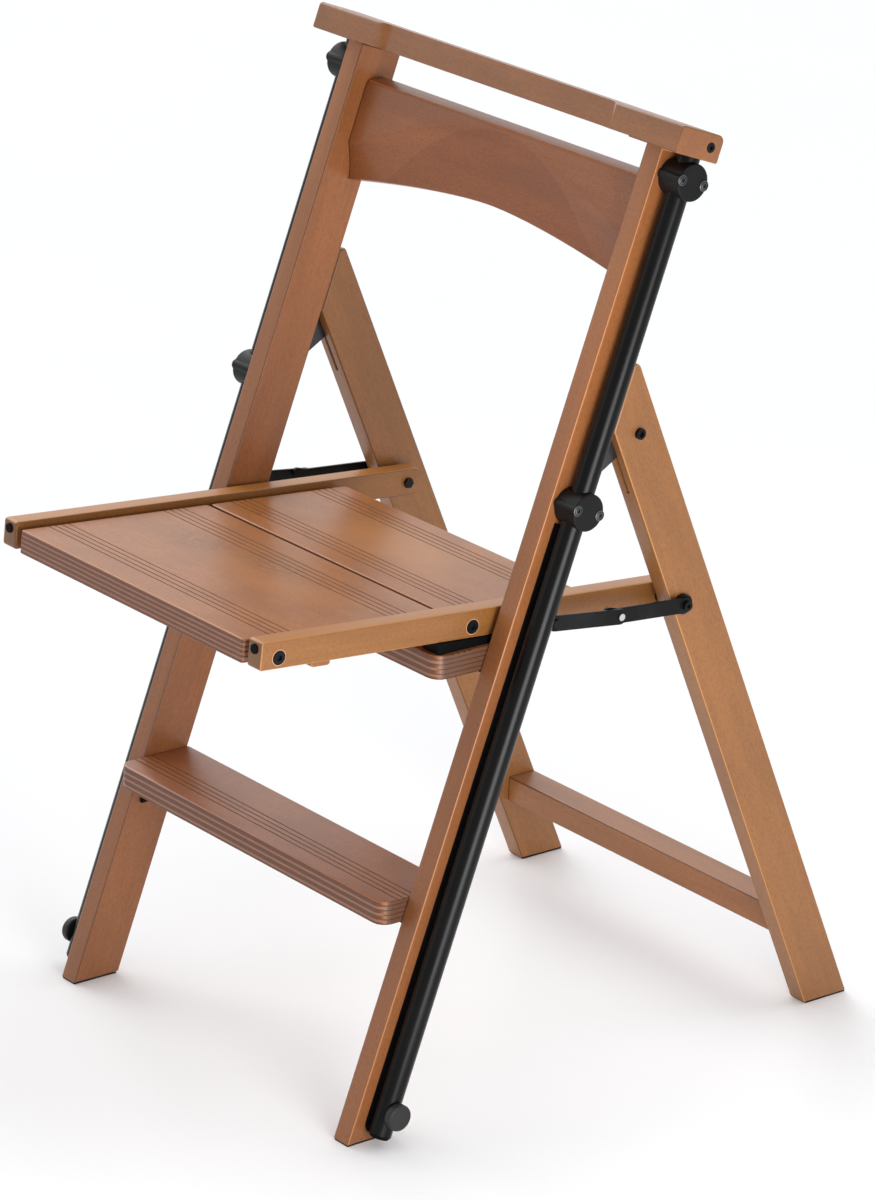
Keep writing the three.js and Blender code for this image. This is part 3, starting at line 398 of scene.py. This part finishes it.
def rail_light_and_shade(finish, place, degrees, base):
    """A seat rail's top made lighter as painted light, its front faces darker as painted shade, and
    painted highlights on the rims round its sunk bolts.
    """
    _, behind, up = finish.split(place)
    _, facing_back, facing_up = finish.split(finish.facing(degrees))
    # Painted light on the top faces, and painted shade on the front faces.
    base = finish.mix(base, RAIL_TOP_LIGHT, facing_up.rise(0.6, 0.95) * 0.85)
    base = finish.mix(base, FRONT_SHADE_TINT, facing_back.fall(-0.95, -0.6), "MULTIPLY")
    # Painted highlights on the rims round the bolts.
    for bolt in BOLTS_ALONG:
        y = behind - bolt
        z = up - PANEL_MIDDLE
        away = (y * y + z * z).math("SQRT")
        rim_highlight = away.rise(6.2 * MM, 6.6 * MM) * away.fall(6.9 * MM, 7.3 * MM)
        base = finish.mix(base, BOLT_RIM_HIGHLIGHT, rim_highlight * 0.75)
    return base


def from_middle(across, behind, half_width, reach):
    """How far out a point lies in an oval patch: 0 in its middle, and 1 on its outline."""
    across_by = across * (1 / half_width)
    behind_by = behind * (1 / reach)
    return (across_by * across_by + behind_by * behind_by).math("SQRT")


def stained_plywood(name, origin, degrees, plies, face_tones, edge_tones, worn=(), smudges=()):
    """Beech plywood: a long-grained face, soft bands on its front, fine glue lines on its ends."""
    finish = Finish(name, LACQUER)
    place = finish.place(origin, degrees)
    right, behind, up = finish.split(place)
    across, _, facing_up = finish.split(finish.facing(degrees))
    light, middle, dark = face_tones
    pale_ply, deep_ply, glue = edge_tones
    top, first, pitch = plies
    cloud = finish.noise(place, FACE_CLOUDS, detail=3.0, rough=0.6)
    spots = finish.noise(place, FACE_SPOTS, detail=4.0, rough=0.7)
    fibres = finish.noise(place, FACE_FIBRES, detail=3.0, rough=0.7)
    flecks = finish.noise(place, FACE_FLECKS, detail=1.0).rise(0.6, 0.74)
    rays = finish.noise(place, FACE_RAYS, detail=2.0, rough=0.6)
    face = finish.mix(light, middle, cloud.rise(0.4, 0.62))
    face = finish.mix(face, middle, spots.rise(0.42, 0.7) * 0.8)
    face = finish.mix(face, dark, fibres.rise(0.4, 0.78) * 0.3)
    face = finish.mix(face, dark, flecks * 0.25)
    face = finish.mix(face, dark, rays.rise(0.42, 0.66) * 0.3)
    # Brighter, more orange patches on the seat's top.
    for patch_along, reach, patch_share in worn:
        away = from_middle(right, behind - patch_along, ORANGE_PATCH_HALF_WIDTH, reach)
        patch = (away + 0.7 * (cloud - 0.5)).fall(0.1, 1.15) * facing_up.rise(0.5, 0.9)
        face = finish.mix(face, PATCH_ORANGE, patch * (patch_share + 0.4 * spots))
    for smudge_across, smudge_along in smudges:
        away = from_middle(
            right - smudge_across, behind - smudge_along, SMUDGE_HALF_WIDTH, SMUDGE_REACH
        )
        patch = (away + 0.9 * (spots - 0.5)).fall(0.2, 1.1) * facing_up.rise(0.5, 0.9)
        face = finish.mix(face, dark, patch * spots.rise(0.3, 0.6) * 0.7)
    wobble = finish.noise(place, PLY_WOBBLE, detail=2.0)
    depth = top - up + PLY_WAVINESS * (wobble - 0.5)
    wave = ((depth - first) * (2 * math.pi / pitch)).math("COSINE")
    streaks = finish.noise(place, PLY_STREAKS, detail=3.0, rough=0.7)
    pores = finish.noise(place, PLY_PORES, detail=2.0)
    pale = finish.mix(pale_ply, deep_ply, streaks.rise(0.4, 0.7) * 0.5)
    deep = finish.mix(deep_ply, glue, pores.rise(0.42, 0.7) * 0.4)
    deep = finish.mix(deep, pale_ply, streaks.rise(0.5, 0.8) * 0.3)
    front = finish.mix(deep, pale, wave.rise(0.0, 0.9))
    fine = ((depth - first) * (2 * math.pi / END_PLY)).math("COSINE")
    end = finish.mix(pale_ply, deep_ply, pores.rise(0.45, 0.7) * 0.6)
    end = finish.mix(end, glue, fine.fall(-0.9, -0.62) * 0.95)
    side = finish.mix(front, end, across.size().rise(0.55, 0.9))
    on_edge = facing_up.size().fall(0.45, 0.85)
    base = finish.mix(face, side, on_edge)
    # A painted highlight along the boards' top edges.
    arris_highlight = finish.mix(base, tuple(level * ARRIS_HIGHLIGHT_GAIN for level in light), 0.55)
    edge = facing_up.rise(0.55, 0.8) * facing_up.fall(0.86, 0.97)
    base = finish.mix(base, arris_highlight, edge)
    # Painted shade at the board's ends, where it meets the legs.
    base = joint_shade(finish, place, degrees, base)
    rough = 0.42 + 0.1 * fibres + 0.14 * on_edge
    height = (1 - on_edge) * fibres * 0.6 + on_edge * streaks * 0.8
    normal = finish.bump(height, 0.2 * MM, 0.5)
    return finish.feed(base=base, rough=rough, normal=normal)


def painted(name, colour, worn, rough, metal=0.0, shine=0.25, depth=0.03 * MM):
    """Powder-coated metal or moulded plastic, with a fine skin and a few faint scuffs."""
    finish = Finish(name, {"Metallic": metal, "Specular IOR Level": shine})
    place = finish.place()
    skin = finish.noise(place, PAINT_SKIN, detail=2.0)
    haze = finish.noise(place, PAINT_HAZE, detail=3.0)
    scuffs = finish.noise(place, PAINT_SCUFFS, detail=3.0, rough=0.7).rise(0.66, 0.76)
    base = finish.mix(colour, worn, haze.rise(0.4, 0.7) * 0.35 + scuffs * 0.5)
    tone = rough + 0.1 * haze + 0.12 * scuffs
    return finish.feed(base=base, rough=tone, normal=finish.bump(skin, depth, 0.6))


def rounded_shading():
    """Geometry nodes that weld the faces and shade them smooth up to a sharp edge."""
    group = bpy.data.node_groups.new("rounded_shading", "GeometryNodeTree")
    for way in ("INPUT", "OUTPUT"):
        group.interface.new_socket("Geometry", in_out=way, socket_type="NodeSocketGeometry")
    entry = group.nodes.new("NodeGroupInput")
    leave = group.nodes.new("NodeGroupOutput")
    weld = group.nodes.new("GeometryNodeMergeByDistance")
    weld.inputs["Distance"].default_value = WELD_GAP
    angle = group.nodes.new("GeometryNodeInputMeshEdgeAngle")
    sharp = group.nodes.new("FunctionNodeCompare")
    sharp.operation = "GREATER_THAN"
    sharp.inputs["B"].default_value = math.radians(SHARP_DEGREES)
    smooth = group.nodes.new("GeometryNodeSetMeshNormal")
    smooth.mode = "SHARPNESS"
    smooth.inputs["Remove Custom"].default_value = True
    smooth.inputs["Face Sharpness"].default_value = False
    link = group.links.new
    link(entry.outputs[0], weld.inputs["Geometry"])
    link(weld.outputs["Geometry"], smooth.inputs["Mesh"])
    link(angle.outputs["Unsigned Angle"], sharp.inputs["A"])
    link(sharp.outputs["Result"], smooth.inputs["Edge Sharpness"])
    link(smooth.outputs["Mesh"], leave.inputs[0])
    return group


def shade(piece, group):
    """Shades a piece's rounded edges smooth and keeps its broad faces flat."""
    piece.modifiers.new("rounded_shading", "NODES").node_group = group
    weighted = piece.modifiers.new("flat_faces", "WEIGHTED_NORMAL")
    weighted.keep_sharp = True


def new_piece(name, data):
    """An object of the scene that holds the given mesh, lamp or camera."""
    piece = bpy.data.objects.new(name, data)
    bpy.context.scene.collection.objects.link(piece)
    return piece


def lobed(radius, turn):
    """How far a six-lobed driver socket reaches in one direction."""
    return radius * (1 + LOBE_DEPTH * math.cos(LOBES * turn))


def screw_head(name, body, centre, side, steel, rim_highlight):
    """A clamp's screw, facing outwards along X: a low boss round a domed six-lobed head."""
    turns = [2 * math.pi * i / SCREW_STEPS for i in range(SCREW_STEPS)]
    rings = [[(reach * MM, height * MM) for _ in turns] for reach, height in SCREW_PROFILE]
    for reach, height in SCREW_SOCKET:
        rings.append([(lobed(reach * MM, turn), height * MM) for turn in turns])
    mesh = bpy.data.meshes.new(name)
    shape = bmesh.new()
    loops = []
    for ring in rings:
        loop = []
        for turn, (reach, height) in zip(turns, ring):
            offset = Vector((side * height, reach * math.cos(turn), reach * math.sin(turn)))
            loop.append(shape.verts.new(centre + offset))
        loops.append(loop)
    for band, (low, high) in enumerate(zip(loops, loops[1:])):
        for i in range(SCREW_STEPS):
            j = (i + 1) % SCREW_STEPS
            face = shape.faces.new((low[i], low[j], high[j], high[i]))
            # The boss's rims take the lighter steel, a painted highlight.
            face.material_index = int(band in HIGHLIGHT_BANDS)
    shape.faces.new(loops[-1])
    shape.faces.new(loops[0])
    bmesh.ops.recalc_face_normals(shape, faces=shape.faces)
    shape.to_mesh(mesh)
    shape.free()
    mesh.materials.append(steel)
    mesh.materials.append(rim_highlight)
    piece = new_piece(name, mesh)
    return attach(piece, body)


def on_front_frame(across, behind, up):
    """A point of the leaning front frame, in the chair's own coordinates."""
    turn = Matrix.Rotation(math.radians(FRONT_LEAN), 3, "X")
    return FOOT_EDGE + turn @ Vector((across, behind, up))


def add_lamp(name, kind, energy, direction):
    """A lamp that shines from the given direction."""
    lamp = bpy.data.lights.new(name, kind)
    lamp.energy = energy
    piece = new_piece(name, lamp)
    piece.rotation_euler = Vector(direction).to_track_quat("Z", "Y").to_euler()
    return piece


def add_camera():
    """The camera that took the picture: turned, raised and slightly rolled."""
    right = Vector((math.cos(CAMERA_AZIMUTH), math.sin(CAMERA_AZIMUTH), 0))
    back = Vector((
        math.sin(CAMERA_AZIMUTH) * math.cos(CAMERA_ELEVATION),
        -math.cos(CAMERA_AZIMUTH) * math.cos(CAMERA_ELEVATION),
        math.sin(CAMERA_ELEVATION),
    ))
    up = back.cross(right)
    across = math.cos(CAMERA_ROLL) * right + math.sin(CAMERA_ROLL) * up
    upward = math.cos(CAMERA_ROLL) * up - math.sin(CAMERA_ROLL) * right
    lens = bpy.data.cameras.new("picture_camera")
    lens.lens = LENS_MM
    lens.sensor_width = SENSOR_MM
    lens.clip_end = CAMERA_REACH
    camera = new_piece("picture_camera", lens)
    turned = Matrix((across, upward, back)).transposed().to_4x4()
    camera.matrix_world = Matrix.Translation(CAMERA_PLACE) @ turned
    bpy.context.scene.camera = camera


def add_floor():
    """A wide pale floor, which isn't part of the chair."""
    finish = Finish("pale_floor", {"Roughness": 0.7, "Specular IOR Level": 0.2})
    patches = finish.noise(finish.place(), FLOOR_PATCHES, detail=2.0)
    finish.feed(base=finish.mix(*FLOOR_TONES, patches))
    mesh = bpy.data.meshes.new("floor")
    shape = bmesh.new()
    corners = ((-1, -1), (1, -1), (1, 1), (-1, 1))
    shape.faces.new([shape.verts.new((x * FLOOR_REACH, y * FLOOR_REACH, 0)) for x, y in corners])
    shape.to_mesh(mesh)
    shape.free()
    mesh.materials.append(finish.material)
    new_piece("floor", mesh)


def add_room():
    """A pale room: its even light, its wide lamps and one softbox on the right."""
    scene = bpy.context.scene
    scene.view_settings.view_transform = "Standard"
    world = bpy.data.worlds.new("pale_room")
    world.use_nodes = True
    backdrop = world.node_tree.nodes["Background"]
    backdrop.inputs["Color"].default_value = (1, 1, 1, 1)
    backdrop.inputs["Strength"].default_value = ROOM_STRENGTH
    scene.world = world
    for name, direction, spread, strength in WIDE_LAMPS:
        wide = add_lamp(name, "SUN", strength, direction)
        wide.data.angle = math.radians(spread)
    place = Vector(SOFTBOX_PLACE)
    softbox = add_lamp("right_softbox", "AREA", SOFTBOX_WATTS, place - Vector(SOFTBOX_AIM))
    softbox.data.size = SOFTBOX_SIZE
    softbox.location = place


joints = {joint["name"]: joint for joint in frame["joints"]}
HINGE = Vector(joints["rear_frame_fold"]["pos_m"])
SEAT_PIVOT = Vector(joints["seat_lift"]["pos_m"])
FOOT_EDGE = Vector((0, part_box("front_foot_pad_right")[0].y - 1.2 * MM, 0))
FLOOR_FRAME = Vector((0, 0, 0))

# Stains, and the colours that lie over them: painted light on the rail tops, painted highlights
# round the bolts, and orange patches on the seat.
FRONT_LEG_TONES = stain(149, 92, 51)
REAR_LEG_TONES = stain(148, 97, 52)
RAIL_TONES = stain(144, 93, 45)
SLAT_TONES = stain(150, 88, 48)
TOP_RAIL_TONES = stain(146, 93, 54)
STRETCHER_TONES = stain(156, 100, 58)
SEAT_FACE_TONES = stain(170, 102, 43)
TREAD_FACE_TONES = stain(156, 94, 54)
SEAT_EDGE_TONES = (srgb(153, 103, 75), srgb(104, 64, 47), srgb(58, 32, 23))
TREAD_EDGE_TONES = (srgb(148, 99, 71), srgb(96, 57, 39), srgb(52, 27, 19))
RAIL_TOP_LIGHT = srgb(180, 118, 55)
BOLT_RIM_HIGHLIGHT = srgb(205, 165, 130)
PATCH_ORANGE = srgb(186, 122, 58)
FLOOR_TONES = (srgb(244, 245, 247), srgb(241, 242, 244))
BLACK = srgb(16, 16, 17)
WORN_BLACK = srgb(44, 44, 46)

beech = {
    "front_legs": stained_beech(
        "front_leg_beech", FOOT_EDGE, FRONT_LEAN, "Z", FRONT_LEG_TONES, shaded_low_lit_high
    ),
    "rear_legs": stained_beech("rear_leg_beech", HINGE, REAR_LEAN, "Z", REAR_LEG_TONES),
    "slat": stained_beech("slat_beech", FOOT_EDGE, FRONT_LEAN, "X", SLAT_TONES, arched_hollow_shade),
    "top_rail": stained_beech(
        "top_rail_beech", FOOT_EDGE, FRONT_LEAN, "X", TOP_RAIL_TONES, dull_ramps, edge_highlight=0.1
    ),
    "stretcher": stained_beech(
        "stretcher_beech", FLOOR_FRAME, 0.0, "X", STRETCHER_TONES, joint_shade, edge_highlight=0
    ),
    "rails": stained_beech("seat_rail_beech", SEAT_PIVOT, SEAT_TILT, "Y", RAIL_TONES, rail_light_and_shade),
    "battens": stained_beech("batten_beech", SEAT_PIVOT, SEAT_TILT, "X", STRETCHER_TONES),
}
plywood = {
    "seat": stained_plywood(
        "seat_ply",
        SEAT_PIVOT,
        SEAT_TILT,
        SEAT_PLIES,
        SEAT_FACE_TONES,
        SEAT_EDGE_TONES,
        ORANGE_PATCHES,
        SMUDGES,
    ),
}
for level, tread_top in (("lower", LOWER_TREAD_TOP), ("upper", UPPER_TREAD_TOP)):
    plies = (tread_top, *TREAD_PLIES)
    plywood[level] = stained_plywood(
        f"{level}_tread_ply", FLOOR_FRAME, 0.0, plies, TREAD_FACE_TONES, TREAD_EDGE_TONES
    )
satin_black = painted("satin_black_tube", srgb(3, 3, 4), srgb(9, 9, 10), 0.24, shine=0.2)
black_steel = painted("blackened_steel", BLACK, WORN_BLACK, 0.35, metal=0.5)
channel_black = painted("black_channel", srgb(6, 6, 7), BLACK, 0.4, shine=0.15)
clamp_grey = painted(
    "dark_clamp_plastic", srgb(9, 9, 10), srgb(20, 20, 21), 0.42, shine=0.2, depth=0.08 * MM
)
knob_grey = painted("knob_plastic", srgb(34, 34, 35), srgb(50, 50, 51), 0.42, depth=0.08 * MM)
dull_black = painted("dull_black_plastic", srgb(5, 5, 5), srgb(14, 14, 14), 0.6, shine=0.08)
screw_steel = painted("dark_screw", srgb(66, 66, 69), srgb(90, 90, 92), 0.2, metal=1.0)
# A lighter steel for the screws' rims: a painted highlight.
screw_rim = painted("screw_rim", srgb(98, 98, 100), srgb(80, 80, 82), 0.35, metal=0.8)
bright_steel = painted("bright_steel", srgb(205, 205, 208), srgb(150, 150, 155), 0.22, metal=1.0)
dark_steel = painted("dark_steel", srgb(70, 70, 74), srgb(120, 118, 116), 0.3, metal=0.9)
rubber = painted("black_rubber", srgb(14, 14, 14), srgb(36, 34, 32), 0.8, depth=0.1 * MM)

PAIRS = {
    "front_leg": beech["front_legs"],
    "rear_leg": beech["rear_legs"],
    "seat_rail": beech["rails"],
    "hinge_plate": dark_steel,
    "guide_channel": channel_black,
    "top_guide_clamp": clamp_grey,
    "middle_guide_clamp": clamp_grey,
    "stay_front_bolt": black_steel,
    "lower_tread_bracket": dull_black,
    "upper_tread_bracket": dull_black,
    "seat_rest": dull_black,
    "front_foot_pad": rubber,
    "rear_foot_pad": rubber,
    "hinge_bolt": black_steel,
    "seat_pivot_bolt": black_steel,
    "front_seat_bolt": black_steel,
    "rear_seat_bolt": black_steel,
    "rail_buffer": dull_black,
    "stay_front_link": black_steel,
    "stay_rivet": bright_steel,
    "stay_rear_link": black_steel,
    "handle_tube": satin_black,
    "tube_plug": dull_black,
    "handle_screw": black_steel,
    "lock_knob": knob_grey,
}
SINGLES = {
    "back_slat": beech["slat"],
    "lower_tread": plywood["lower"],
    "upper_tread": plywood["upper"],
    "rear_stretcher": beech["stretcher"],
    "front_seat_panel": plywood["seat"],
    "rear_seat_panel": plywood["seat"],
    "front_batten": beech["battens"],
    "rear_batten": beech["battens"],
    "top_rail": beech["top_rail"],
}

shading = rounded_shading()
for name, piece in frame["nodes"].items():
    stem = name.rsplit("_", 1)[0]
    for slot in piece.material_slots:
        slot.material = SINGLES[name] if name in SINGLES else PAIRS[stem]
    shade(piece, shading)

for side, word in ((1, "right"), (-1, "left")):
    for level, height in CLAMP_HEIGHTS.items():
        for lug, offset in (("front", -LUG_OFFSET), ("rear", LUG_OFFSET)):
            across = side * (CLAMP_END + SCREW_CLEARANCE)
            centre = on_front_frame(across, TUBE_BEHIND + offset, height)
            name = f"{level}_clamp_{lug}_screw_{word}"
            head = screw_head(name, "front_frame", centre, side, screw_steel, screw_rim)
            shade(head, shading)

add_room()
add_floor()
add_camera()
